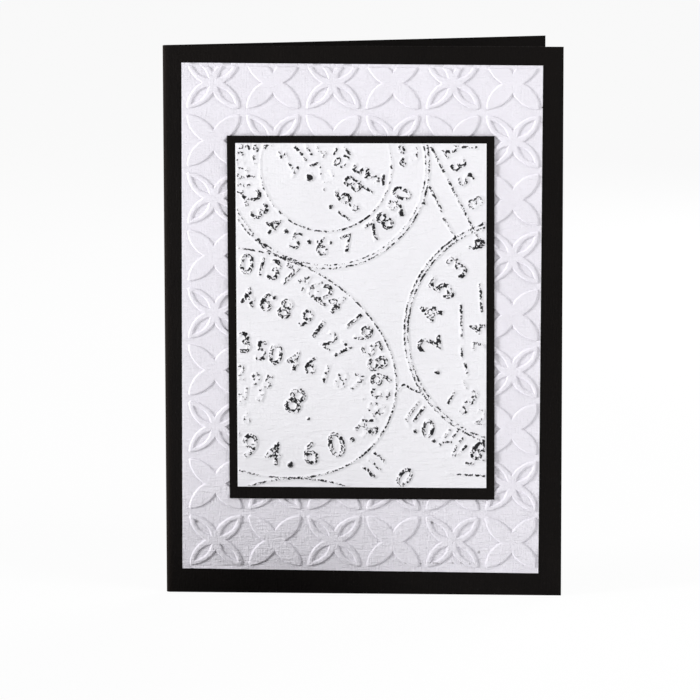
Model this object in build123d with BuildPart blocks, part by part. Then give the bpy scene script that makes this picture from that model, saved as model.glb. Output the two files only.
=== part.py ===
from build123d import *

from math import atan2, cos, degrees, dist, radians, sin, sqrt
import os

# A handmade greeting card that stands on its lower edges, slightly open.
# Millimetres, +Z up, the front cover faces -Y and the fold is on the left, at -X.
# The origin is the bottom centre of the card's box.

# Folded card
card_width = 114.3  # fold to free edge
card_height = 158.75
card_thickness = 0.32
fold_radius = 0.8  # inside the fold
opening_angle = 16.1  # between the covers, at the fold
bow_angle = 3.5  # how far the back cover turns further away along its width

# Embossed white panel on the front cover
panel_border_left = 5.1
panel_border_right = 6.2
panel_border_top = 5.1
panel_border_bottom = 6.8
panel_turn = -0.3  # the sheet is stuck on a little askew
panel_thickness = 0.25
panel_relief = 0.45  # how far the flowers stand out of the sheet
panel_margin = 1.0  # flat strip between the embossing and the sheet's edge

# Four-petal flowers of the embossing
flower_pitch_x = 17.1
flower_pitch_z = 16.6
flower_inset_left = 9.4  # sheet's left edge to the first flower's centre
flower_inset_bottom = 8.7
petal_reach = 7.6  # flower's centre to a petal's tip, along X and along Z
notch_reach = 3.3  # flower's centre to the notch between two petals
leaf_start = 1.4  # inner leaf's near end, from the flower's centre along X and along Z
leaf_end = 6.0
leaf_width = 2.5

# Black mat on the flowers' crowns
mat_width = 76.4
mat_height = 105.2
mat_thickness = 0.3
mat_shift_x = 0.1  # from the embossed panel's centre
mat_shift_z = 0.4
mat_turn = 0.15

# Stamped white panel on the mat
stamp_border_left = 2.4
stamp_border_right = 2.3
stamp_border_top = 2.1
stamp_border_bottom = 3.5
stamp_turn = 0.1
stamp_thickness = 0.3
stamp_relief = 0.3
stamp_margin = 0.4  # flat strip between the raised lines and the sheet's edge
stamp_line_width = 0.9

# Both white sheets are pressed from behind: a hollow is this much smaller than what it raises
pressed_wall = 0.2

# Oval, rings and straight lines of the stamped panel, from its sheet's lower left corner
stamp_oval = {"centre": (5.8, 36.0), "radii": (41.3, 31.3), "turn": -24.5}
stamp_rings = [
    {"centre": (25.8, 93.0), "radius": 18.8},
    {"centre": (25.8, 93.0), "radius": 28.9},
    {"centre": (81.1, 45.1), "radius": 32.3},
]
stamp_lines = [
    {"start": (64.4, 29.6), "end": (64.4, 53.0)},
    {"start": (56.0, 98.6), "end": (69.9, 71.0)},
    {"start": (54.9, 88.3), "end": (63.3, 71.8)},
]

# Section of the folded card, worked out so that the whole card's box is centred on X and on Y
fold_outer_radius = fold_radius + card_thickness
cover_run = card_width - fold_outer_radius  # a cover's width beyond the fold
bow_radius = cover_run / radians(bow_angle)  # at the middle of the back cover's thickness
back_outer_radius = bow_radius - card_thickness / 2
back_inner_radius = bow_radius + card_thickness / 2
free_angle = opening_angle + bow_angle
back_depth = fold_outer_radius * (1 + cos(radians(opening_angle))) + back_outer_radius * (
    cos(radians(opening_angle)) - cos(radians(free_angle))
)
front_depth = panel_thickness + panel_relief + mat_thickness + stamp_thickness + stamp_relief
front_y = (front_depth - back_depth) / 2
free_edge_x = card_width / 2
fold_x = fold_outer_radius - card_width / 2

# Sizes and places of the layers on the front cover
panel_width = card_width - panel_border_left - panel_border_right
panel_height = card_height - panel_border_bottom - panel_border_top
panel_x = (panel_border_left - panel_border_right) / 2
panel_z = panel_border_bottom + panel_height / 2
mat_x = panel_x + mat_shift_x
mat_z = panel_z + mat_shift_z
stamp_width = mat_width - stamp_border_left - stamp_border_right
stamp_height = mat_height - stamp_border_bottom - stamp_border_top
stamp_x = mat_x + (stamp_border_left - stamp_border_right) / 2
stamp_z = mat_z + (stamp_border_bottom - stamp_border_top) / 2
panel_place = Location((panel_x, panel_z), panel_turn)
mat_place = Location((mat_x, mat_z), mat_turn)
stamp_place = Location((stamp_x, stamp_z), stamp_turn)

# Planes of the layers: X runs right, Y runs up the cover, and Z points out of the front
cover_face = Plane(origin=(0, front_y, 0), x_dir=(1, 0, 0), z_dir=(0, -1, 0))
panel_face = cover_face.offset(panel_thickness)
crown_face = panel_face.offset(panel_relief)
mat_face = crown_face.offset(mat_thickness)
stamp_face = mat_face.offset(stamp_thickness)


def flower(with_leaves, wall):
    """Four petals as one face, with or without inner leaves; a wall makes all of it narrower."""
    petal_rise = petal_reach - notch_reach
    petal_side = (petal_reach**2 + petal_rise**2) / (2 * petal_rise)
    petal_near = petal_reach - petal_side
    leaf_length = (leaf_end - leaf_start) * sqrt(2)
    leaf_side = (leaf_length**2 + leaf_width**2) / (4 * leaf_width)
    leaf_middle = (leaf_start + leaf_end) / 2
    leaf_offset = (leaf_side - leaf_width / 2) / sqrt(2)
    with BuildSketch() as petal:
        with Locations((petal_reach, petal_near)):
            Circle(petal_side - wall)
        with Locations((petal_near, petal_reach)):
            Circle(petal_side - wall, mode=Mode.INTERSECT)
    with BuildSketch() as leaf:
        with Locations((leaf_middle + leaf_offset, leaf_middle - leaf_offset)):
            Circle(leaf_side + wall)
        with Locations((leaf_middle - leaf_offset, leaf_middle + leaf_offset)):
            Circle(leaf_side + wall, mode=Mode.INTERSECT)
    with BuildSketch() as whole:
        with PolarLocations(0, 4):
            add(petal.sketch)
        if with_leaves:
            with PolarLocations(0, 4):
                add(leaf.sketch, mode=Mode.SUBTRACT)
    return whole.sketch


def flower_places(with_leaves):
    """Centres of every other flower of the grid, as on a chequerboard."""
    columns = int((panel_width - flower_inset_left) // flower_pitch_x) + 1
    rows = int((panel_height - flower_inset_bottom) // flower_pitch_z) + 1
    first_x = panel_x - panel_width / 2 + flower_inset_left
    first_z = panel_z - panel_height / 2 + flower_inset_bottom
    remainder = 0 if with_leaves else 1
    return [
        (first_x + column * flower_pitch_x, first_z + row * flower_pitch_z)
        for column in range(columns)
        for row in range(rows)
        if (column + row) % 2 == remainder
    ]


def flower_field(wall):
    """All flowers as one sketch, ended square at the margin round the sheet."""
    with BuildSketch() as field:
        for with_leaves in (True, False):
            with Locations(*flower_places(with_leaves)):
                add(flower(with_leaves, wall))
        with Locations(panel_place):
            Rectangle(
                panel_width - 2 * (panel_margin + wall),
                panel_height - 2 * (panel_margin + wall),
                mode=Mode.INTERSECT,
            )
    return field.sketch


def stamp_marks(wall):
    """All raised lines as one sketch, ended square at the margin round the sheet."""
    width = stamp_line_width - 2 * wall
    long_radius, short_radius = stamp_oval["radii"]
    with BuildSketch() as oval:
        with Locations(Location(stamp_oval["centre"], stamp_oval["turn"])):
            Ellipse(long_radius + width / 2, short_radius + width / 2)
            Ellipse(long_radius - width / 2, short_radius - width / 2, mode=Mode.SUBTRACT)
    rings = [oval.sketch]
    for ring in stamp_rings:
        with BuildSketch() as annulus:
            with Locations(ring["centre"]):
                Circle(ring["radius"] + width / 2)
                Circle(ring["radius"] - width / 2, mode=Mode.SUBTRACT)
        rings.append(annulus.sketch)
    with BuildSketch() as marks:
        for ring_face in rings:
            add(ring_face)
        for line in stamp_lines:
            (start_x, start_z), (end_x, end_z) = line["start"], line["end"]
            slope = degrees(atan2(end_z - start_z, end_x - start_x))
            with Locations(((start_x + end_x) / 2, (start_z + end_z) / 2)):
                SlotCenterToCenter(dist(line["start"], line["end"]), width, rotation=slope)
        with Locations((stamp_width / 2, stamp_height / 2)):
            Rectangle(
                stamp_width - 2 * (stamp_margin + wall),
                stamp_height - 2 * (stamp_margin + wall),
                mode=Mode.INTERSECT,
            )
    return marks.sketch


# Card base: one sheet folded once, its section drawn on the ground and raised to the card's height
with BuildPart() as card_base:
    with BuildSketch(Plane.XY):
        with BuildLine():
            front_outer = Line((free_edge_x, front_y), (fold_x, front_y))
            fold_outer = JernArc(
                front_outer @ 1, (-1, 0), fold_outer_radius, opening_angle - 180
            )
            back_outer = JernArc(fold_outer @ 1, fold_outer % 1, back_outer_radius, bow_angle)
            back_edge = PolarLine(back_outer @ 1, card_thickness, angle=free_angle - 90)
            back_inner = JernArc(
                back_edge @ 1, (back_outer % 1) * -1, back_inner_radius, -bow_angle
            )
            fold_inner = JernArc(
                back_inner @ 1, back_inner % 1, fold_radius, 180 - opening_angle
            )
            front_inner = Line(fold_inner @ 1, (free_edge_x, front_y + card_thickness))
            Line(front_inner @ 1, front_outer @ 0)
        make_face()
    extrude(amount=card_height)
card_base.part.label = "card_base"

# Embossed panel: the flat sheet, its raised flowers and the hollows pressed behind them
with BuildPart() as embossed_panel:
    with BuildSketch(cover_face):
        with Locations(panel_place):
            Rectangle(panel_width, panel_height)
    extrude(amount=panel_thickness)
    with BuildSketch(panel_face):
        add(flower_field(0))
    extrude(amount=panel_relief)
    with BuildSketch(cover_face):
        add(flower_field(pressed_wall))
    extrude(amount=panel_relief, mode=Mode.SUBTRACT)
embossed_panel.part.label = "embossed_panel"

# Mat: a plain rectangle of black card on the crowns
with BuildPart() as mat:
    with BuildSketch(crown_face):
        with Locations(mat_place):
            Rectangle(mat_width, mat_height)
    extrude(amount=mat_thickness)
mat.part.label = "mat"

# Stamped panel: the flat sheet, its raised oval, rings and lines, and the hollows behind them
with BuildPart() as stamp_panel:
    with BuildSketch(mat_face):
        with Locations(stamp_place):
            Rectangle(stamp_width, stamp_height)
    extrude(amount=stamp_thickness)
    with BuildSketch(stamp_face):
        with Locations(stamp_place * Location((-stamp_width / 2, -stamp_height / 2))):
            add(stamp_marks(0))
    extrude(amount=stamp_relief)
    with BuildSketch(mat_face):
        with Locations(stamp_place * Location((-stamp_width / 2, -stamp_height / 2))):
            add(stamp_marks(pressed_wall))
    extrude(amount=stamp_relief, mode=Mode.SUBTRACT)
stamp_panel.part.label = "stamp_panel"

os.makedirs("parts", exist_ok=True)
for piece in (card_base, embossed_panel, mat, stamp_panel):
    export_step(piece.part, f"parts/{piece.part.label}.step")
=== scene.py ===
# Greeting card that stands slightly open: embossed panel, black mat and stamped panel on its front cover.
# The panels are shaped in millimetres, lying flat with the front up, and then stood on the cover in metres.
from math import atan2, cos, degrees, hypot, pi, radians, sin, sqrt

import bpy
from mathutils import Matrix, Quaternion, Vector


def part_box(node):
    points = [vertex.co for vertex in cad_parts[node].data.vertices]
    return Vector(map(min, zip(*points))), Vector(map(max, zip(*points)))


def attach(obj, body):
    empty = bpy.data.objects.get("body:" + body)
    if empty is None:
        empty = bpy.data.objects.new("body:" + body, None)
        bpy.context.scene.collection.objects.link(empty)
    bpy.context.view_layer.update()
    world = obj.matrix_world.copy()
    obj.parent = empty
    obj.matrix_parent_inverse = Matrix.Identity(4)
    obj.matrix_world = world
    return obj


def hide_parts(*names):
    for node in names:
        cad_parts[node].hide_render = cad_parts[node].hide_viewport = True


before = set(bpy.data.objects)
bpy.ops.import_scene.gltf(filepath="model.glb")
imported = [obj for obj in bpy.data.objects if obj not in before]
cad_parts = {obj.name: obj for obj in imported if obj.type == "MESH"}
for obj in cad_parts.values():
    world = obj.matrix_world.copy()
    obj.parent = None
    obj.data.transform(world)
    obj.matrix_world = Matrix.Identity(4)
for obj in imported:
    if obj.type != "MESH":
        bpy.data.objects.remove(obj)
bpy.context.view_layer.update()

mm = 0.001
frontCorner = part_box("card_base")[0]
coverLeft = frontCorner.x / mm  # the fold's outer side
coverFront = frontCorner.y / mm  # outer face of the front cover
print("frame loaded, cover face at", round(coverFront, 3), "mm")


# Helpers for making the pieces.
def takeUp(piece):
    bpy.ops.object.select_all(action="DESELECT")
    piece.select_set(True)
    bpy.context.view_layer.objects.active = piece
    return piece


def added(name):
    piece = bpy.context.object
    piece.name = name
    piece.data.name = name
    return piece


def settled(piece):
    takeUp(piece)
    bpy.ops.object.transform_apply(location=True, rotation=True, scale=True)
    return piece


def finishedWith(piece, kind, **settings):
    takeUp(piece)
    modifier = piece.modifiers.new(kind.title(), kind)
    for name, value in settings.items():
        setattr(modifier, name, value)
    bpy.ops.object.modifier_apply(modifier=modifier.name)
    return piece


def combined(piece, other, operation):
    finishedWith(piece, "BOOLEAN", operation=operation, object=other, solver="EXACT")
    bpy.data.objects.remove(other)
    return piece


def copied(piece, x=0.0, y=0.0, turn=0.0):
    other = piece.copy()
    other.data = piece.data.copy()
    bpy.context.collection.objects.link(other)
    other.location = (x, y, 0)
    other.rotation_euler = (0, 0, turn)
    return settled(other)


def joined(pieces, name):
    takeUp(pieces[0])
    for piece in pieces[1:]:
        piece.select_set(True)
    bpy.ops.object.join()
    return added(name)


def pickFaces(piece, wanted):  # into edit mode with only the wanted faces selected
    takeUp(piece)
    bpy.ops.object.mode_set(mode="EDIT")
    bpy.ops.mesh.select_mode(type="FACE")
    bpy.ops.mesh.select_all(action="DESELECT")
    bpy.ops.object.mode_set(mode="OBJECT")
    for face in piece.data.polygons:
        face.select = wanted(face)
    bpy.ops.object.mode_set(mode="EDIT")


def pickRim():  # the open edges of the piece in edit mode
    bpy.ops.mesh.select_mode(type="EDGE")
    bpy.ops.mesh.select_all(action="DESELECT")
    bpy.ops.mesh.select_non_manifold(extend=False, use_wire=False, use_multi_face=False,
                                     use_non_contiguous=False, use_verts=False)


def growRim(fromHalf, toHalf, level=None):  # the rim's half width and half height, before and after
    bpy.ops.mesh.extrude_region_move()
    flat = 1 if level is None else 0
    bpy.ops.transform.resize(value=(toHalf[0] / fromHalf[0], toHalf[1] / fromHalf[1], flat),
                             center_override=(0, 0, level or 0))


def stoodOnCover(piece, centre, turn):
    piece.rotation_euler = (0, 0, radians(turn))
    piece.location = (centre[0], centre[1], 0)
    settled(piece)
    piece.rotation_euler = (pi / 2, 0, 0)
    piece.location = (0, coverFront * mm, 0)
    piece.scale = (mm, mm, mm)
    return settled(piece)


# Shader helpers, and the paper surface that all the card materials share.
def newGroup(name, inputs, outputs):
    group = bpy.data.node_groups.new(name, "ShaderNodeTree")
    for label, kind, value in inputs:
        socket = group.interface.new_socket(label, in_out="INPUT", socket_type="NodeSocket" + kind)
        if value is not None:
            socket.default_value = value
    for label, kind in outputs:
        group.interface.new_socket(label, in_out="OUTPUT", socket_type="NodeSocket" + kind)
    return group, group.nodes.new("NodeGroupInput"), group.nodes.new("NodeGroupOutput")


def link(tree, source, target):
    tree.links.new(source, target)


def calc(tree, operation, first, second=None, clamp=False):
    node = tree.nodes.new("ShaderNodeMath")
    node.operation = operation
    node.use_clamp = clamp
    for socket, value in zip(node.inputs, (first, second)):
        if value is None:
            continue
        if isinstance(value, (int, float)):
            socket.default_value = value
        else:
            link(tree, value, socket)
    return node.outputs[0]


def noise(tree, place, scale, detail=2.0, roughness=0.5, distortion=0.0):
    node = tree.nodes.new("ShaderNodeTexNoise")
    node.inputs["Scale"].default_value = scale
    node.inputs["Detail"].default_value = detail
    node.inputs["Roughness"].default_value = roughness
    node.inputs["Distortion"].default_value = distortion
    link(tree, place, node.inputs["Vector"])
    return node.outputs["Fac"]


def stretched(tree, place, scale, shift=(0, 0, 0), turn=(0, 0, 0)):
    node = tree.nodes.new("ShaderNodeMapping")
    node.inputs["Scale"].default_value = scale
    node.inputs["Location"].default_value = shift
    node.inputs["Rotation"].default_value = turn
    link(tree, place, node.inputs["Vector"])
    return node.outputs["Vector"]


def ramp(tree, value, low, high, smooth=True):  # 0 below low, 1 above high
    node = tree.nodes.new("ShaderNodeMapRange")
    node.interpolation_type = "SMOOTHSTEP" if smooth else "LINEAR"
    node.inputs["From Min"].default_value = low
    node.inputs["From Max"].default_value = high
    link(tree, value, node.inputs["Value"])
    return node.outputs["Result"]


def fade(tree, value, low, high):  # 1 below low, 0 above high
    return calc(tree, "SUBTRACT", 1, ramp(tree, value, low, high))


def blend(tree, mask, first, second):
    node = tree.nodes.new("ShaderNodeMix")
    node.data_type = "RGBA"
    for socket, value in ((node.inputs[0], mask), (node.inputs[6], first), (node.inputs[7], second)):
        if isinstance(value, (int, float)):
            socket.default_value = value
        elif isinstance(value, tuple):
            socket.default_value = (*value, 1)
        else:
            link(tree, value, socket)
    return node.outputs[2]


def paperSurface():  # grain height and mottling of a sheet, from its place in millimetres
    group, given, result = newGroup("paperSurface",
                                    [("Place", "Vector", None), ("Streaks", "Float", 0.5)],
                                    [("Height", "Float"), ("Mottle", "Float")])
    place = given.outputs["Place"]
    fine = noise(group, place, 1.9, 3.0, 0.65)
    fibres = noise(group, stretched(group, place, (0.28, 1, 2.0)), 1.0, 2.0, 0.6, 0.5)
    crossFibres = noise(group, stretched(group, place, (2.2, 1, 0.4)), 1.0, 2.0, 0.5, 0.3)
    woven = calc(group, "ADD", calc(group, "MULTIPLY", fibres, given.outputs["Streaks"]),
                 calc(group, "MULTIPLY", crossFibres, 0.5))
    link(group, calc(group, "ADD", calc(group, "MULTIPLY", fine, 0.45), woven), result.inputs["Height"])
    mottle = noise(group, place, 0.09, 3.0, 0.6)
    link(group, mottle, result.inputs["Mottle"])
    return group


paperGroup = paperSurface()


def paperMaterial(name):  # a material with its place in millimetres, its shader and its output
    material = bpy.data.materials.new(name)
    material.use_nodes = True
    tree = material.node_tree
    tree.nodes.clear()
    shader = tree.nodes.new("ShaderNodeBsdfPrincipled")
    output = tree.nodes.new("ShaderNodeOutputMaterial")
    link(tree, shader.outputs[0], output.inputs["Surface"])
    place = stretched(tree, tree.nodes.new("ShaderNodeTexCoord").outputs["Object"], (1000, 1000, 1000))
    return material, tree, shader, place


def surfaceOf(tree, place, streaks):
    node = tree.nodes.new("ShaderNodeGroup")
    node.node_tree = paperGroup
    node.inputs["Streaks"].default_value = streaks
    link(tree, place, node.inputs["Place"])
    return node.outputs["Height"], node.outputs["Mottle"]


def mottledWhite(tree, mottle, sheet):
    shaded = tuple(sheet["mottled"] * part for part in sheet["white"])
    return blend(tree, ramp(tree, mottle, 0.3, 0.75), sheet["white"], shaded)


def partsOf(tree, vector):  # along X, Y and Z
    split = tree.nodes.new("ShaderNodeSeparateXYZ")
    link(tree, vector, split.inputs[0])
    return tuple(split.outputs)


def bump(tree, height, distance, under=None):
    node = tree.nodes.new("ShaderNodeBump")
    node.inputs["Distance"].default_value = distance
    link(tree, height, node.inputs["Height"])
    if under is not None:
        link(tree, under, node.inputs["Normal"])
    return node.outputs["Normal"]


# The folded card: one sheet with a soft fold, its back cover bowed a little.
card = {
    "width": 114.3, "height": 158.75, "thick": 0.32, "foldInside": 0.8,
    "opening": 16.1, "bow": 3.5,
    "edgeRound": 0.05,
    # how much lighter and browner sideways-facing faces are drawn: the real core on the cut edges, a painted
    # highlight on the fold's curve
    "edgeAndFoldLightening": 0.75, "edgeFacing": (0.55, 0.95),  # how squarely a face turns aside to count as an edge
    "foldPaintedHighlight": 0.3, "foldHighlightFades": (0.2, 2.4),  # a painted highlight along the fold, fading out between these distances from the fold's outer side
    "unevenness": 0.2, "streaks": 0.3, "tooth": 0.00025, "roughness": 0.66, "specular": 0.06,
    # the lighter, browner tone of the cut edges and of uneven patches, also used for the painted highlight
    # along the fold
    "black": (0.0034, 0.0029, 0.0028), "paleAndHighlit": (0.0165, 0.0115, 0.0088),
}


def makeFoldedCard():
    middleRadius = card["foldInside"] + card["thick"] / 2
    run = card["width"] - card["foldInside"] - card["thick"]
    foldX = coverLeft + card["foldInside"] + card["thick"]
    faceY = coverFront + card["thick"] / 2
    bpy.ops.mesh.primitive_plane_add(size=1, location=(foldX + run / 2, faceY, card["height"] / 2),
                                     rotation=(pi / 2, 0, 0))
    cover = added("folded_card")
    cover.scale = (run, card["height"], 1)
    settled(cover)
    foldCentre = Vector((foldX, faceY + middleRadius, 0))

    def pickSide(test):
        bpy.ops.object.mode_set(mode="EDIT")
        bpy.ops.mesh.select_mode(type="EDGE")
        bpy.ops.mesh.select_all(action="DESELECT")
        bpy.ops.object.mode_set(mode="OBJECT")
        for edge in cover.data.edges:
            edge.select = all(test(cover.data.vertices[end].co) for end in edge.vertices)
        bpy.ops.object.mode_set(mode="EDIT")

    pickSide(lambda place: place.x < foldX + 0.01)
    bpy.ops.mesh.spin(steps=20, angle=radians(card["opening"] - 180), center=foldCentre, axis=(0, 0, -1))
    bowRadius = run / radians(card["bow"])
    opening = radians(card["opening"])
    bpy.ops.object.mode_set(mode="OBJECT")
    last = foldCentre + Vector((-sin(opening), cos(opening), 0)) * middleRadius
    pickSide(lambda place: hypot(place.x - last.x, place.y - last.y) < 0.01)
    bowCentre = last + Vector((-sin(opening), cos(opening), 0)) * bowRadius
    bpy.ops.mesh.spin(steps=24, angle=-radians(card["bow"]), center=bowCentre, axis=(0, 0, 1))
    bpy.ops.mesh.select_all(action="SELECT")
    bpy.ops.mesh.remove_doubles(threshold=0.001)
    bpy.ops.mesh.normals_make_consistent(inside=False)
    bpy.ops.object.mode_set(mode="OBJECT")
    finishedWith(cover, "SOLIDIFY", thickness=card["thick"], offset=0, use_even_offset=True)
    finishedWith(cover, "BEVEL", width=card["edgeRound"], segments=2, limit_method="ANGLE",
                 angle_limit=radians(60))
    takeUp(cover)
    bpy.ops.object.shade_smooth_by_angle(angle=radians(35))
    cover.scale = (mm, mm, mm)
    return settled(cover)


def blackCard():
    material, tree, shader, place = paperMaterial("blackCard")
    height, mottle = surfaceOf(tree, place, card["streaks"])
    # cut edges face sideways, up or down, and show the sheet's lighter, browner core; the fold's curve also
    # faces sideways, so it gets the same tone as a painted highlight
    facing = partsOf(tree, tree.nodes.new("ShaderNodeNewGeometry").outputs["Normal"])
    sideways = calc(tree, "ABSOLUTE", facing[0])
    upwards = calc(tree, "ABSOLUTE", facing[2])
    edge = ramp(tree, calc(tree, "MAXIMUM", sideways, upwards), *card["edgeFacing"])
    away = calc(tree, "SUBTRACT", partsOf(tree, place)[0], coverLeft)
    # a painted highlight along the fold, fading out from its outer side
    foldHighlight = calc(tree, "MULTIPLY", fade(tree, away, *card["foldHighlightFades"]), card["foldPaintedHighlight"])
    # lighter cut edges, plus the painted highlight on the fold
    paleAndHighlit = calc(tree, "ADD", calc(tree, "MULTIPLY", edge, card["edgeAndFoldLightening"]), foldHighlight)
    specks = ramp(tree, noise(tree, place, 3.1, 2.0, 0.7), 0.6, 0.8)
    uneven = calc(tree, "MULTIPLY", calc(tree, "ADD", specks, mottle), card["unevenness"])
    tone = blend(tree, calc(tree, "ADD", paleAndHighlit, uneven, True), card["black"], card["paleAndHighlit"])
    link(tree, tone, shader.inputs["Base Color"])
    link(tree, bump(tree, height, card["tooth"]), shader.inputs["Normal"])
    shader.inputs["Roughness"].default_value = card["roughness"]
    shader.inputs["Specular IOR Level"].default_value = card["specular"]
    return material


foldedCard = makeFoldedCard()
blackCardMaterial = blackCard()
foldedCard.data.materials.append(blackCardMaterial)
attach(foldedCard, "root")
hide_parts("card_base")
print("folded card made")


# The mat stays as the frame has it, and takes the black card.
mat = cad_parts["mat"]
mat.data.materials.clear()
mat.data.materials.append(blackCardMaterial)
print("mat dressed")


# The embossed panel: a sheet pressed with rows of four-petal flowers.
panel = {
    "width": 103.0, "height": 146.85, "centre": (-0.55, 80.225), "turn": -0.3,
    "thick": 0.25, "margin": 1.0,  # margin: a flat strip along the sheet's edges
    "cutFoot": 0.22,  # width of the slope from the cut flowers down to it
    "firstFlower": (-42.65, 15.5), "pitch": (17.1, 16.6), "columns": 6, "rows": 9,
    "petalReach": 7.55, "notchReach": 3.25, "leafFrom": 1.5, "leafTo": 5.9, "leafWidth": 1.9,
    "blunt": 0.35,  # cut off a petal's outer tip
    "foot": 0.04,  # upright start of a petal's side
    # inset and rise of each step up a petal's side, the last one holding the crown flat
    "side": [(0.06, 0.07), (0.11, 0.13), (0.11, 0.12), (0.12, 0.07), (0.12, 0.02), (0.04, 0.0)],
    "white": (0.73, 0.71, 0.762), "mottled": 0.965, "streaks": 1.0,  # mottled: the darker patches' share
    "dirt": (0.11, 0.1, 0.1), "dirtStrength": 0.6, "roughness": 0.55, "specular": 0.2,
    # the tooth is coarser at the card's foot, and gets finer between these heights
    "tooth": 0.00025, "toothAtFoot": 1.75, "toothAbove": 0.8, "toothFades": (8, 50),
    # a faint dotted scuff near the lower edge, and a few specks, from the middle of the cover's foot
    "scuffLevel": 9.2, "scuffFrom": 8.5, "scuffTo": 37.0, "scuffEnds": (3, 9),  # where its ends fade
    "scuffHalfWidth": (0.1, 0.45), "scuffWander": 1.6,
    "specks": [(-48.1, 21.0, 0.3), (19.9, 21.2, 0.35), (-42.2, 14.2, 0.25), (33.4, 12.6, 0.25)],
}


def lens(radius, offset, high, sides):  # where two round bars meet, along the diagonal of x and y
    bpy.ops.mesh.primitive_cylinder_add(vertices=sides, radius=radius, depth=high + 1,
                                        location=(offset[0], offset[1], (high - 1) / 2))
    one = settled(added("lens"))
    bpy.ops.mesh.primitive_cylinder_add(vertices=sides, radius=radius, depth=6,
                                        location=(offset[1], offset[0], 0))
    return combined(one, settled(added("other")), "INTERSECT")


def makeTile(withLeaves):  # one flower on its rectangle of sheet, open at the sides and below
    reach, notch = panel["petalReach"], panel["notchReach"]
    rise = reach - notch
    petalSide = (reach ** 2 + rise ** 2) / (2 * rise)
    ground = panel["thick"]
    petal = lens(petalSide, (reach, reach - petalSide), ground + panel["foot"], 60)
    # with 68 sides one flat lies across each petal's tip
    bpy.ops.mesh.primitive_cylinder_add(vertices=68, radius=reach * sqrt(2) - panel["blunt"], depth=8)
    petal = combined(petal, added("blunting"), "INTERSECT")
    if withLeaves:
        length = (panel["leafTo"] - panel["leafFrom"]) * sqrt(2)
        leafSide = (length ** 2 + panel["leafWidth"] ** 2) / (4 * panel["leafWidth"])
        middle = (panel["leafFrom"] + panel["leafTo"]) / 2
        aside = (leafSide - panel["leafWidth"] / 2) / sqrt(2)
        leaf = lens(leafSide, (middle + aside, middle - aside), 2, 36)
        petal = combined(petal, leaf, "DIFFERENCE")
    square = panel["pitch"][1] / 2 + 2  # a quarter of the tile, 2 mm past its axes
    bpy.ops.mesh.primitive_cube_add(size=1, location=(square / 2 - 2, square / 2 - 2, (ground - 1) / 2))
    tile = added("tile")
    tile.scale = (square, square, ground + 1)
    tile = combined(settled(tile), petal, "UNION")
    pickFaces(tile, lambda face: face.center.z < ground - 0.02)
    bpy.ops.mesh.delete(type="FACE")
    for x, y in ((-1, 0), (0, -1)):
        bpy.ops.mesh.select_all(action="SELECT")
        bpy.ops.mesh.bisect(plane_co=(0, 0, 0), plane_no=(x, y, 0), clear_outer=True)
    bpy.ops.mesh.select_all(action="SELECT")
    bpy.ops.mesh.remove_doubles(threshold=0.02)
    bpy.ops.object.mode_set(mode="OBJECT")
    finishedWith(tile, "MIRROR", use_axis=(True, True, False), merge_threshold=0.01)
    pickFaces(tile, lambda face: face.normal.z > 0.9 and face.center.z > ground + 0.02)
    for inset, up in panel["side"]:
        bpy.ops.mesh.inset(thickness=inset, depth=up, use_boundary=True, use_even_offset=True)
    bpy.ops.object.mode_set(mode="OBJECT")
    tile.scale = (panel["pitch"][0] / panel["pitch"][1], 1, 1)  # flowers are a little wider than high
    return settled(tile)


def makeEmbossedPanel():
    tiles = {leafed: makeTile(leafed) for leafed in (True, False)}
    halfWidth, halfHeight = panel["width"] / 2, panel["height"] / 2
    field = []
    for column in range(panel["columns"]):
        for row in range(panel["rows"]):
            x = panel["firstFlower"][0] + column * panel["pitch"][0] - panel["centre"][0]
            y = panel["firstFlower"][1] + row * panel["pitch"][1] - panel["centre"][1]
            field.append(copied(tiles[(column + row) % 2 == 0], x, y))
    for tile in tiles.values():
        bpy.data.objects.remove(tile)
    sheet = joined(field, "embossed_sheet")
    sheet.rotation_euler = (0, 0, radians(-panel["turn"]))  # the flowers stay upright on a turned sheet
    settled(sheet)
    bpy.ops.object.mode_set(mode="EDIT")
    bpy.ops.mesh.select_all(action="SELECT")
    bpy.ops.mesh.remove_doubles(threshold=0.004)
    pickRim()
    growRim((1, 1), (1.03, 1.02))  # plain sheet past the outermost flowers
    insideX, insideY = halfWidth - panel["margin"], halfHeight - panel["margin"]
    for x, y in ((1, 0), (-1, 0), (0, 1), (0, -1)):
        bpy.ops.mesh.select_mode(type="FACE")
        bpy.ops.mesh.select_all(action="SELECT")
        bpy.ops.mesh.bisect(plane_co=(x * insideX, y * insideY, 0), plane_no=(x, y, 0), clear_outer=True)
    foot = (insideX + panel["cutFoot"], insideY + panel["cutFoot"])
    pickRim()
    growRim((insideX, insideY), foot, panel["thick"])
    growRim(foot, (halfWidth, halfHeight))
    bpy.ops.mesh.select_all(action="SELECT")
    bpy.ops.mesh.normals_make_consistent(inside=False)
    bpy.ops.object.mode_set(mode="OBJECT")
    finishedWith(sheet, "SOLIDIFY", thickness=panel["thick"], offset=-1)
    takeUp(sheet)
    bpy.ops.object.shade_smooth_by_angle(angle=radians(42))
    return stoodOnCover(sheet, panel["centre"], panel["turn"])


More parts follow.
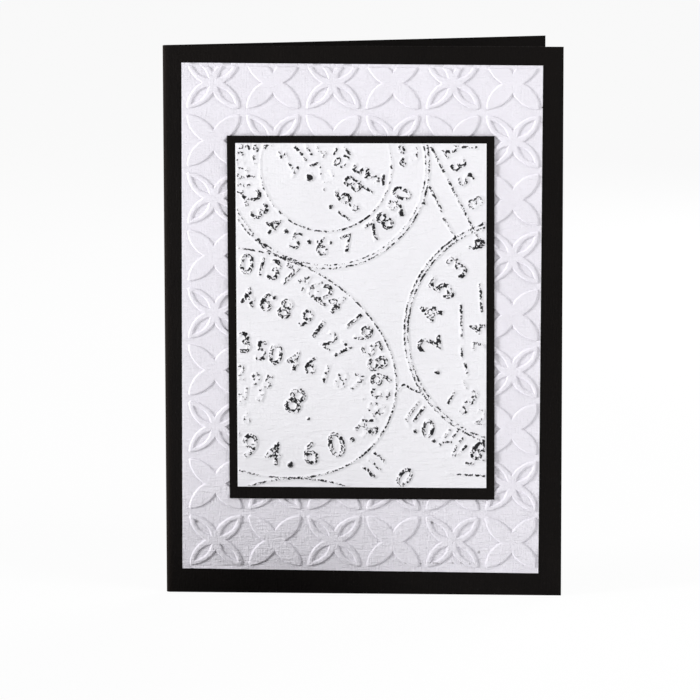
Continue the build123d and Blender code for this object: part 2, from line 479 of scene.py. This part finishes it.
def scuff(tree, across, level, place):  # a faint broken line of dirt, and a few specks
    start, end, wander = panel["scuffFrom"], panel["scuffTo"], panel["scuffWander"]
    wandering = calc(tree, "ADD", level, calc(tree, "MULTIPLY", noise(tree, place, 0.12), wander))
    off = calc(tree, "SUBTRACT", wandering, panel["scuffLevel"] + wander / 2)
    line = fade(tree, calc(tree, "ABSOLUTE", off), *panel["scuffHalfWidth"])
    ends = calc(tree, "MULTIPLY", ramp(tree, across, start, start + panel["scuffEnds"][0]),
                fade(tree, across, end - panel["scuffEnds"][1], end))
    broken = ramp(tree, noise(tree, place, 1.1, 2.0), 0.45, 0.65)
    dirt = calc(tree, "MULTIPLY", line, calc(tree, "MULTIPLY", ends, broken))
    for x, z, radius in panel["specks"]:
        away = tree.nodes.new("ShaderNodeVectorMath")
        away.operation = "DISTANCE"
        away.inputs[1].default_value = (x, coverFront - panel["thick"], z)
        link(tree, place, away.inputs[0])
        speck = fade(tree, away.outputs["Value"], radius * 0.5, radius + 0.35)
        dirt = calc(tree, "MAXIMUM", dirt, speck)
    return dirt


def embossedWhite():
    material, tree, shader, place = paperMaterial("embossedWhite")
    height, mottle = surfaceOf(tree, place, panel["streaks"])
    white = mottledWhite(tree, mottle, panel)
    across, level = partsOf(tree, place)[::2]  # along X and Z
    dirt = calc(tree, "MULTIPLY", scuff(tree, across, level, place), panel["dirtStrength"])
    link(tree, blend(tree, dirt, white, panel["dirt"]), shader.inputs["Base Color"])
    finer = calc(tree, "MULTIPLY", ramp(tree, level, *panel["toothFades"]),
                 panel["toothAtFoot"] - panel["toothAbove"])
    toothed = calc(tree, "MULTIPLY", height, calc(tree, "SUBTRACT", panel["toothAtFoot"], finer))
    link(tree, bump(tree, toothed, panel["tooth"]), shader.inputs["Normal"])
    shader.inputs["Roughness"].default_value = panel["roughness"]
    shader.inputs["Specular IOR Level"].default_value = panel["specular"]
    return material


embossedPanel = makeEmbossedPanel()
embossedPanel.data.materials.append(embossedWhite())
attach(embossedPanel, "root")
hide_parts("embossed_panel")
print("embossed panel made,", len(embossedPanel.data.polygons), "faces")


# The stamped panel: a sheet pressed over a die of rings, bars, dots and figures.
stamp = {
    "width": 71.7, "height": 99.6, "centre": (-0.4, 81.325), "turn": 0.1,
    "thick": 0.3, "relief": 0.3, "lowest": 0.35,  # lowest: the part of the relief that any mark has
    "margin": 0.4, "cutFoot": 0.15,
    "weave": 0.3,  # how finely the sheet follows the die
    "softening": 0.5, "softenings": 2,  # how much the sheet rounds the die's marks, and how often
    "lift": 1.0,  # the mat's front above the cover
    "bar": 1.0925,  # radius of a bar's round back
    "ring": 0.56,  # half width of a ring's line
    "markShift": (-0.1, 0.5),  # all marks together
    "figureRim": 0.16, "figureDeep": 0.3, "figureSwell": 0.09,  # a figure's rounding, depth and widening
    "figureTall": 0.69,  # a figure's height as a share of its text size
    # heights above the sheet between which the ink begins, takes better, is squeezed out and is solid
    "inkBegins": (0.12, 0.16), "inkTakes": (0.12, 0.24), "inkSqueezed": (0.255, 0.29),
    "inkSolid": (0.274, 0.286),
    "inkLost": 0.55,  # how much of it is squeezed out
    # how much the height, the small blotches and the wide patches count, and where the ink's edge lies
    "inkByHeight": 0.26, "inkByBlotches": 1.5, "inkByPatches": 0.6, "inkEdge": (0.02, 0.09),
    "white": (0.762, 0.755, 0.784), "ink": (0.006, 0.006, 0.007), "thinInk": (0.028, 0.027, 0.03),
    "mottled": 0.97, "streaks": 0.4, "tooth": 0.00015, "creases": 0.00022,
    "roughness": 0.5, "specular": 0.14,
}
# Places are millimetres from the cover's lower left corner. The last number of a mark is its height, 0 to 1,
# which also rules its ink.
ovals = [
    {"centre": (26.9, 67.1), "radii": (41.3, 31.3), "turn": -24.5, "press": 0.92},
    {"centre": (46.9, 124.1), "radii": (18.8, 18.8), "turn": 0, "press": 1.0, "tilt": 0.0045},
    {"centre": (46.9, 124.1), "radii": (28.5, 28.5), "turn": 0, "press": 0.7},
    {"centre": (46.9, 124.1), "radii": (29.5, 29.5), "turn": 0, "press": 0.9},
    {"centre": (102.2, 76.2), "radii": (33.0, 33.0), "turn": 0, "press": 0.95},
    {"centre": (102.2, 76.2), "radii": (32.0, 32.0), "turn": 0, "press": 0.9},
    {"centre": (38.5, -12.0), "radii": (45.5, 45.5), "turn": 0, "press": 0.95},
]
rows = [  # figures along an oval, at these angles, tops outwards (1) or inwards (-1)
    {"oval": 0, "inset": 4.5, "tall": 5.8, "tops": 1, "press": 0.86,
     "at": (113, 100, 93, 75, 69, 57, 49, 40, 32, 23), "figures": "0372419586"},
    {"oval": 0, "inset": 4.5, "tall": 5.6, "tops": 1, "press": 0.45,
     "at": (106, 86, 80, 14, 5, -8), "figures": "146382"},
    {"oval": 2, "inset": 5.2, "tall": 5.4, "tops": -1, "press": 0.76,
     "at": (203, 215, 228, 306, 317, 340), "figures": "234780"},
    {"oval": 2, "inset": 5.0, "tall": 5.2, "tops": -1, "press": 0.52,
     "at": (248, 267, 330, 188), "figures": "5691"},
    {"oval": 2, "inset": 5.2, "tall": 5.0, "tops": -1, "press": 0.75,
     "at": (285,), "figures": "7"},
    {"oval": 4, "inset": 7.3, "tall": 6.6, "tops": 1, "press": 0.85,
     "at": (187, 168, 150, 133), "figures": "2453"},
]
figures = [  # figure, x, y, turn, tall, press
    ("4", 24.3, 85.6, 8, 5.6, 0.85), ("6", 29.6, 84.6, -12, 5.6, 0.75),
    ("8", 35.0, 82.6, -22, 5.6, 0.86), ("9", 40.8, 79.8, -32, 5.4, 0.7),
    ("1", 44.4, 76.8, -36, 5.4, 0.8), ("2", 47.6, 73.4, -40, 5.4, 0.6),
    ("7", 51.0, 70.6, -38, 5.2, 0.7), ("3", 23.4, 72.8, 8, 5.8, 0.86), ("5", 28.2, 70.4, -6, 5.6, 0.6),
    ("0", 32.2, 69.3, -8, 5.8, 0.86), ("4", 37.2, 67.6, -14, 5.4, 0.85),
    ("6", 42.3, 66.2, -16, 5.2, 0.6), ("1", 46.6, 63.8, -18, 5.2, 0.65),
    ("8", 51.0, 62.0, -20, 5.2, 0.35), ("7", 55.4, 61.2, -22, 5.2, 0.5),
    ("2", 22.0, 64.2, -8, 4.2, 0.5), ("9", 26.4, 62.0, -14, 4.2, 0.5),
    ("5", 30.0, 61.4, -18, 4.0, 0.55), ("1", 23.6, 57.9, -10, 3.6, 0.6),
    ("3", 27.9, 57.6, -14, 3.6, 0.65), ("8", 37.6, 55.8, -28, 7.4, 0.85),
    ("9", 24.6, 42.6, -8, 6.8, 0.86), ("4", 31.4, 40.4, -2, 6.6, 0.8), ("6", 42.2, 40.6, 4, 6.6, 0.8),
    ("0", 49.7, 43.1, 12, 7.2, 0.86), ("6", 51.8, 115.1, 60, 5.2, 0.8),
    ("8", 54.9, 118.9, 60, 5.2, 0.8), ("5", 57.4, 122.6, 66, 5.2, 0.7),
    ("3", 60.4, 120.8, 60, 4.6, 0.55), ("6", 54.9, 112.3, 56, 3.4, 0.65),
    ("1", 58.9, 117.4, 60, 3.8, 0.6), ("0", 50.1, 125.2, -30, 2.6, 0.7),
    ("6", 82.1, 87.2, 118, 3.2, 0.8), ("4", 90.4, 77.4, 92, 4.6, 0.65), ("7", 91.2, 72.6, 92, 4.4, 0.6),
    ("2", 82.4, 128.6, -58, 4.6, 0.6), ("3", 84.6, 124.2, -56, 4.4, 0.75),
    ("5", 86.6, 120.2, -58, 4.4, 0.8), ("8", 89.4, 113.6, -60, 4.6, 0.55),
    ("9", 89.6, 101.4, -60, 4.8, 0.7), ("0", 68.6, 128.8, 20, 2.6, 0.86),
    ("3", 72.4, 127.2, -10, 4.2, 0.3), ("6", 68.9, 125.2, -6, 2.8, 0.7),
    ("0", 76.0, 48.0, -6, 5.2, 0.85), ("1", 82.6, 57.2, -30, 4.0, 0.7),
    ("3", 88.8, 57.2, -26, 4.2, 0.6), ("5", 86.4, 54.0, -20, 3.6, 0.5),
    ("2", 91.2, 51.4, -20, 4.6, 0.4), ("8", 90.2, 41.6, -32, 5.4, 0.7),
    ("4", 58.2, 47.6, -52, 4.6, 0.45), ("7", 58.9, 50.6, -66, 3.6, 0.6),
    ("0", 69.0, 33.8, -36, 5.6, 0.86), ("6", 23.8, 50.8, 0, 3.4, 0.3), ("2", 22.2, 56.6, 0, 3.0, 0.35),
    ("3", 22.3, 127.6, 86, 2.4, 0.65), ("7", 22.5, 125.4, 94, 2.5, 0.7),
    ("1", 22.2, 123.4, 88, 2.4, 0.6), ("7", 22.4, 121.2, 92, 2.6, 0.75),
    ("5", 22.6, 118.6, 84, 2.2, 0.55), ("2", 22.0, 116.2, 90, 2.4, 0.6),
    ("8", 22.6, 129.9, 0, 2.0, 0.65), ("4", 24.6, 129.8, 4, 2.1, 0.6),
    ("6", 26.9, 129.2, -6, 2.6, 0.55), ("3", 29.4, 129.7, 0, 1.9, 0.5),
    ("5", 26.7, 125.8, 10, 2.4, 0.55), ("9", 24.3, 122.6, 0, 1.8, 0.5),
]
bars = [  # corner after corner, then press
    ((36.4, 124.6), (37.4, 123.2), 0.9), ((38.9, 123.6), (37.4, 121.2), 0.9),
    ((33.6, 127.9), (34.3, 126.5), 0.9), ((35.3, 127.5), (35.9, 126.3), 0.9),
    ((38.1, 129.5), (40.0, 127.5), 0.95), ((41.2, 129.8), (42.8, 127.4), 0.85),
    ((44.4, 129.6), (44.9, 128.2), 0.6), ((40.7, 126.4), (41.1, 125.8), 0.9),
    ((42.6, 124.2), (44.6, 124.9), 0.95), ((45.3, 124.0), (45.5, 120.6), 0.5),
    ((45.6, 128.2), (46.8, 128.0), (46.3, 126.9), 0.95), ((48.2, 122.6), (49.0, 121.0), 0.6),
    ((46.4, 119.5), (47.9, 119.5), 0.4), ((49.2, 127.6), (50.0, 129.0), 0.7),
    ((52.2, 129.4), (54.0, 127.3), 0.9), ((52.2, 127.1), (53.4, 126.2), 0.8),
    ((51.2, 123.9), (52.7, 124.5), 0.7), ((50.6, 110.9), (53.4, 108.7), 0.85),
    ((25.0, 118.8), (24.2, 118.2), 0.9), ((28.6, 118.5), (29.0, 117.9), 0.95),
    ((27.3, 102.7), (29.3, 100.9), 0.9), ((63.2, 119.0), (63.4, 121.4), 1.0),
    ((65.7, 124.4), (65.7, 123.0), 0.9), ((76.9, 129.8), (91.0, 102.1), 0.75),
    ((76.3, 118.6), (80.0, 111.2), 0.8), ((80.5, 109.2), (84.3, 102.9), 0.75),
    ((85.5, 84.3), (85.6, 75.0), 0.85), ((85.5, 71.8), (85.8, 69.0), 0.85),
    ((86.6, 67.2), (87.3, 64.2), 0.85), ((86.3, 62.0), (87.0, 60.2), 0.7),
    ((90.9, 90.2), (91.4, 82.4), 0.85), ((67.4, 59.5), (69.0, 61.1), (71.2, 59.9), (74.4, 58.2), 0.75),
    ((73.2, 55.9), (69.8, 51.2), 1.0), ((74.8, 54.5), (72.0, 50.4), 0.95),
    ((70.0, 50.2), (70.6, 49.0), 0.6), ((80.7, 45.9), (82.2, 47.7), 1.0),
    ((83.2, 45.9), (84.3, 47.3), 0.85), ((80.3, 44.4), (82.6, 44.4), 0.7),
    ((85.2, 44.5), (86.0, 45.5), 0.95), ((84.2, 43.4), (83.0, 40.4), (84.8, 40.8), 0.7),
    ((85.8, 41.8), (86.9, 43.2), 0.95), ((88.9, 41.0), (89.2, 43.0), 0.9),
    ((87.0, 38.2), (88.8, 38.1), 0.95), ((81.6, 35.3), (92.0, 34.6), 0.75),
    ((90.2, 39.6), (92.0, 39.2), 0.7), ((57.4, 36.9), (59.0, 35.8), (59.6, 34.6), 0.95),
    ((59.0, 39.0), (61.2, 37.2), (62.2, 36.2), 0.85), ((60.6, 41.1), (62.0, 40.2), (63.4, 38.6), 0.85),
    ((56.4, 62.4), (57.2, 61.4), 0.85), ((30.2, 129.9), (31.6, 129.9), 0.5),
    ((86.0, 129.6), (90.0, 129.5), 0.8), ((60.0, 52.6), (62.6, 52.2), 0.4),
    ((56.4, 41.0), (58.4, 41.2), 0.5),
    ((65.9, 54.4), (63.9, 49.5), (61.6, 45.7), (59.0, 42.5), (55.2, 38.5), 0.12),  # a ridge left without ink
]
dots = [  # x, y, radius, press
    (35.4, 105.2, 0.8, 1.0), (42.1, 102.2, 0.75, 1.0), (48.1, 102.1, 0.55, 0.9),
    (44.2, 102.4, 0.45, 0.8), (68.4, 110.6, 0.95, 1.0), (42.3, 120.8, 1.15, 1.0),
    (46.4, 117.4, 0.5, 0.8), (48.2, 112.4, 0.7, 1.0), (25.7, 104.1, 0.45, 1.0), (41.5, 50.9, 0.55, 1.0),
    (36.3, 37.5, 0.95, 1.0), (54.1, 44.9, 0.8, 0.9), (72.3, 47.5, 0.7, 1.0), (77.6, 44.7, 0.65, 1.0),
    (79.3, 43.6, 0.5, 0.9), (78.6, 64.8, 0.9, 0.8), (75.0, 113.5, 0.6, 1.0), (31.9, 86.0, 0.8, 1.0),
    (55.2, 48.0, 0.65, 0.9), (21.2, 46.5, 0.7, 0.9), (60.6, 34.2, 0.55, 1.0), (91.6, 107.8, 0.5, 0.9),
    (91.3, 105.8, 0.5, 0.9), (57.3, 56.8, 0.4, 0.9),
]


def onOval(oval, inset, angle):  # a place on the oval and the direction outwards
    long, short = (radius - inset for radius in oval["radii"])
    along, turn = radians(angle), radians(oval["turn"])
    x, y = long * cos(along), short * sin(along)
    outX, outY = cos(along) / long, sin(along) / short
    place = (oval["centre"][0] + x * cos(turn) - y * sin(turn),
             oval["centre"][1] + x * sin(turn) + y * cos(turn))
    outwards = atan2(outX * sin(turn) + outY * cos(turn), outX * cos(turn) - outY * sin(turn))
    return place, degrees(outwards)


def onSheet(x, y):  # from the cover's corner to the sheet's middle
    shiftX, shiftY = stamp["markShift"]
    return x + coverLeft + shiftX - stamp["centre"][0], y + shiftY - stamp["centre"][1]


def crown(press):  # how high a mark stands above the sheet
    return stamp["relief"] * (stamp["lowest"] + (1 - stamp["lowest"]) * press)


def makeRing(oval):
    bpy.ops.curve.primitive_bezier_circle_add(radius=1)
    ring = added("ring")
    ring.data.resolution_u = 32
    ring.data.bevel_depth = stamp["ring"]
    ring.data.bevel_resolution = 3
    bpy.ops.object.mode_set(mode="EDIT")
    bpy.ops.curve.select_all(action="SELECT")
    bpy.ops.transform.resize(value=(*oval["radii"], 1), center_override=(0, 0, 0))
    bpy.ops.object.mode_set(mode="OBJECT")
    bpy.ops.object.convert(target="MESH")
    tilt = oval.get("tilt", 0)  # about X, so that one side presses less
    sunk = stamp["ring"] + tilt * oval["radii"][1]
    ring.location = (*onSheet(*oval["centre"]), crown(oval["press"]) - sunk)
    ring.rotation_euler = (-tilt, 0, radians(oval["turn"]))
    return settled(ring)


def makeFigure(figure, x, y, turn, tall, press):
    rim, deep = stamp["figureRim"], stamp["figureDeep"]
    place = (*onSheet(x, y), crown(press) - rim - deep)
    bpy.ops.object.text_add(location=place, rotation=(0, 0, radians(turn)))
    text = bpy.context.object
    text.data.body = figure
    text.data.align_x = "CENTER"
    text.data.align_y = "CENTER"
    text.data.size = tall / stamp["figureTall"]
    text.data.offset = stamp["figureSwell"]
    text.data.extrude = deep
    text.data.bevel_depth = rim
    text.data.bevel_resolution = 1
    text.data.resolution_u = 4
    bpy.ops.object.convert(target="MESH")
    return settled(text)


def makeBar(corners, press):
    parts = []
    radius = stamp["bar"]
    level = crown(press) - radius
    for start, end in zip(corners, corners[1:]):
        (startX, startY), (endX, endY) = onSheet(*start), onSheet(*end)
        runX, runY = endX - startX, endY - startY
        bpy.ops.mesh.primitive_cylinder_add(vertices=16, radius=radius, depth=hypot(runX, runY),
                                            location=((startX + endX) / 2, (startY + endY) / 2, level),
                                            rotation=(0, pi / 2, atan2(runY, runX)))
        parts.append(settled(added("bar")))
    for x, y in corners:  # a round end on each bar
        bpy.ops.mesh.primitive_uv_sphere_add(segments=16, ring_count=10, radius=radius,
                                             location=(*onSheet(x, y), level))
        parts.append(settled(added("barEnd")))
    return parts


def makeDot(x, y, radius, press):
    deep = 0.4
    bpy.ops.mesh.primitive_cylinder_add(vertices=24, radius=radius, depth=deep,
                                        location=(*onSheet(x, y), crown(press) - deep / 2))
    return settled(added("dot"))


def makeDie():
    bpy.ops.mesh.primitive_cube_add(size=1, location=(0, 0, -1))
    table = added("die")
    table.scale = (stamp["width"] + 8, stamp["height"] + 8, 2)
    parts = [settled(table)]
    parts += [makeRing(oval) for oval in ovals]
    for row in rows:
        for angle, figure in zip(row["at"], row["figures"]):
            (x, y), outwards = onOval(ovals[row["oval"]], row["inset"], angle)
            turn = outwards - 90 * row["tops"]
            parts.append(makeFigure(figure, x, y, turn, row["tall"], row["press"]))
    parts += [makeFigure(*mark) for mark in figures]
    for *corners, press in bars:
        parts += makeBar(corners, press)
    parts += [makeDot(*dot) for dot in dots]
    return joined(parts, "die")


def makeStampedPanel():
    die = makeDie()
    print("die made,", len(die.data.polygons), "faces")
    halfWidth, halfHeight = stamp["width"] / 2, stamp["height"] / 2
    inside = (halfWidth - stamp["margin"], halfHeight - stamp["margin"])
    bpy.ops.mesh.primitive_grid_add(x_subdivisions=round(2 * inside[0] / stamp["weave"]),
                                    y_subdivisions=round(2 * inside[1] / stamp["weave"]),
                                    size=1, location=(0, 0, 2))
    sheet = added("stamped_sheet")
    sheet.scale = (2 * inside[0], 2 * inside[1], 1)
    settled(sheet)
    finishedWith(sheet, "SHRINKWRAP", target=die, wrap_method="PROJECT", use_project_z=True,
                 use_negative_direction=True, use_positive_direction=False)
    bpy.data.objects.remove(die)
    finishedWith(sheet, "SMOOTH", factor=stamp["softening"], iterations=stamp["softenings"],
                 use_x=False, use_y=False)
    takeUp(sheet)
    bpy.ops.object.mode_set(mode="EDIT")
    pickRim()
    foot = (inside[0] + stamp["cutFoot"], inside[1] + stamp["cutFoot"])
    growRim(inside, foot, 0.0)
    growRim(foot, (halfWidth, halfHeight))
    bpy.ops.mesh.extrude_region_move(TRANSFORM_OT_translate={"value": (0, 0, -stamp["thick"])})
    bpy.ops.mesh.edge_face_add()
    bpy.ops.mesh.select_all(action="SELECT")
    bpy.ops.mesh.normals_make_consistent(inside=False)
    bpy.ops.object.mode_set(mode="OBJECT")
    bpy.ops.object.shade_smooth_by_angle(angle=radians(60))
    sheet.location = (0, 0, stamp["lift"] + stamp["thick"])
    settled(sheet)
    return stoodOnCover(sheet, stamp["centre"], stamp["turn"])


def brokenInk(tree, raised, place):  # ink sits on the crowns, broken up by a grain
    def counted(value, middle, weight):
        return calc(tree, "MULTIPLY", calc(tree, "SUBTRACT", value, middle), weight)

    blotches = noise(tree, place, 1.1, 2.0, 0.6, 0.8)
    patches = noise(tree, place, 0.26, 2.0, 0.5)
    grain = calc(tree, "ADD", counted(blotches, 0.5, stamp["inkByBlotches"]),
                 counted(patches, 0.5, stamp["inkByPatches"]))
    squeezed = calc(tree, "MULTIPLY", ramp(tree, raised, *stamp["inkSqueezed"]), stamp["inkLost"])
    reach = calc(tree, "SUBTRACT", ramp(tree, raised, *stamp["inkTakes"], False), squeezed)
    wetness = calc(tree, "ADD", grain, counted(reach, 0.6, stamp["inkByHeight"]))
    wet = ramp(tree, wetness, *stamp["inkEdge"])
    inked = calc(tree, "MULTIPLY", wet, ramp(tree, raised, *stamp["inkBegins"]))
    return calc(tree, "MAXIMUM", inked, ramp(tree, raised, *stamp["inkSolid"]))


def stampedWhite():
    material, tree, shader, place = paperMaterial("stampedWhite")
    height, mottle = surfaceOf(tree, place, stamp["streaks"])
    face = coverFront - stamp["lift"] - stamp["thick"]
    raised = calc(tree, "SUBTRACT", face, partsOf(tree, place)[1])
    inked = brokenInk(tree, raised, place)
    white = mottledWhite(tree, mottle, stamp)
    ink = blend(tree, noise(tree, place, 1.7, 1.0), stamp["ink"], stamp["thinInk"])
    link(tree, blend(tree, inked, white, ink), shader.inputs["Base Color"])
    creases = noise(tree, stretched(tree, place, (0.2, 1, 1.1)), 1.0, 2.0, 0.5, 1.0)
    creased = bump(tree, creases, stamp["creases"])
    link(tree, bump(tree, height, stamp["tooth"], creased), shader.inputs["Normal"])
    shader.inputs["Roughness"].default_value = stamp["roughness"]
    shader.inputs["Specular IOR Level"].default_value = stamp["specular"]
    return material


stampedPanel = makeStampedPanel()
stampedPanel.data.materials.append(stampedWhite())
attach(stampedPanel, "root")
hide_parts("stamp_panel")
print("stamped panel made,", len(stampedPanel.data.polygons), "faces")


# Floor, light and camera.
studio = {
    "floorRadius": 14.0,
    # a dim patch of floor near the card, which the camera doesn't see
    "dimCentre": (-0.03, -0.03), "dimWithin": 0.005, "brightBeyond": 0.067,
    "floorDim": (0.06, 0.055, 0.05), "floorPale": (0.75, 0.75, 0.75),
    "floorGlow": 0.935, "floorWhite": 0.06, "floorSpill": 0.46,
    "sky": 0.14, "skyColour": (0.98, 0.98, 1.0),
    "lightsAim": (0, 0, 0.08),
    "keyWay": (-0.87, -0.42, 0.22), "keyAway": 1.6, "keySize": 0.42, "keyPower": 27.3,
    "fillWay": (0.6, -0.36, 0.72), "fillAway": 0.5, "fillSize": 0.2, "fillPower": 1.2,
    "rearWay": (0.45, 0.82, 0.36), "rearAway": 0.9, "rearSize": 0.5, "rearPower": 5.5,
    "lookFrom": (0.07109, -1.3656, 0.2797), "lookAt": (-0.00389, -0.01468, 0.07087),
    "lookRoll": -0.108, "lens": 244.64,
}


def makeFloor():
    bpy.ops.mesh.primitive_circle_add(vertices=96, radius=studio["floorRadius"], fill_type="NGON")
    floor = added("floor")
    material = bpy.data.materials.new("paleFloor")
    material.use_nodes = True
    tree = material.node_tree
    tree.nodes.clear()
    away = tree.nodes.new("ShaderNodeVectorMath")
    away.operation = "DISTANCE"
    away.inputs[1].default_value = (*studio["dimCentre"], 0)
    link(tree, tree.nodes.new("ShaderNodeTexCoord").outputs["Object"], away.inputs[0])
    far = ramp(tree, away.outputs["Value"], studio["dimWithin"], studio["brightBeyond"])
    bounce = tree.nodes.new("ShaderNodeBsdfDiffuse")
    link(tree, blend(tree, far, studio["floorDim"], studio["floorPale"]), bounce.inputs["Color"])
    white = tree.nodes.new("ShaderNodeBsdfDiffuse")
    white.inputs["Color"].default_value = (studio["floorWhite"],) * 3 + (1,)
    glow = tree.nodes.new("ShaderNodeEmission")
    glow.inputs["Strength"].default_value = studio["floorGlow"]
    seen = tree.nodes.new("ShaderNodeAddShader")
    link(tree, white.outputs[0], seen.inputs[0])
    link(tree, glow.outputs[0], seen.inputs[1])
    spill = tree.nodes.new("ShaderNodeEmission")
    link(tree, calc(tree, "MULTIPLY", far, studio["floorSpill"]), spill.inputs["Strength"])
    unseen = tree.nodes.new("ShaderNodeAddShader")
    link(tree, bounce.outputs[0], unseen.inputs[0])
    link(tree, spill.outputs[0], unseen.inputs[1])
    choose = tree.nodes.new("ShaderNodeMixShader")
    link(tree, tree.nodes.new("ShaderNodeLightPath").outputs["Is Camera Ray"], choose.inputs[0])
    link(tree, unseen.outputs[0], choose.inputs[1])
    link(tree, seen.outputs[0], choose.inputs[2])
    output = tree.nodes.new("ShaderNodeOutputMaterial")
    link(tree, choose.outputs[0], output.inputs["Surface"])
    floor.data.materials.append(material)


def makeLight():
    world = bpy.data.worlds.new("studioSky")
    bpy.context.scene.world = world
    world.use_nodes = True
    sky = world.node_tree.nodes["Background"]
    sky.inputs["Color"].default_value = (*studio["skyColour"], 1)
    sky.inputs["Strength"].default_value = studio["sky"]
    aim = Vector(studio["lightsAim"])
    for light in ("key", "fill", "rear"):
        way = Vector(studio[light + "Way"]).normalized()
        bpy.ops.object.light_add(type="AREA", location=aim + way * studio[light + "Away"],
                                 rotation=way.to_track_quat("Z", "Y").to_euler())
        lamp = bpy.context.object
        lamp.name = light + "Light"
        lamp.data.size = studio[light + "Size"]
        lamp.data.energy = studio[light + "Power"]


def makeCamera():
    place, aim = Vector(studio["lookFrom"]), Vector(studio["lookAt"])
    turn = (aim - place).to_track_quat("-Z", "Y") @ Quaternion((0, 0, 1), radians(studio["lookRoll"]))
    bpy.ops.object.camera_add(location=place, rotation=turn.to_euler())
    camera = bpy.context.object
    camera.data.lens = studio["lens"]
    camera.data.sensor_width = 36
    camera.data.clip_end = 50
    camera.data.dof.use_dof = False
    bpy.context.scene.camera = camera


makeFloor()
makeLight()
makeCamera()
bpy.context.scene.view_settings.view_transform = "Standard"
print("studio set")
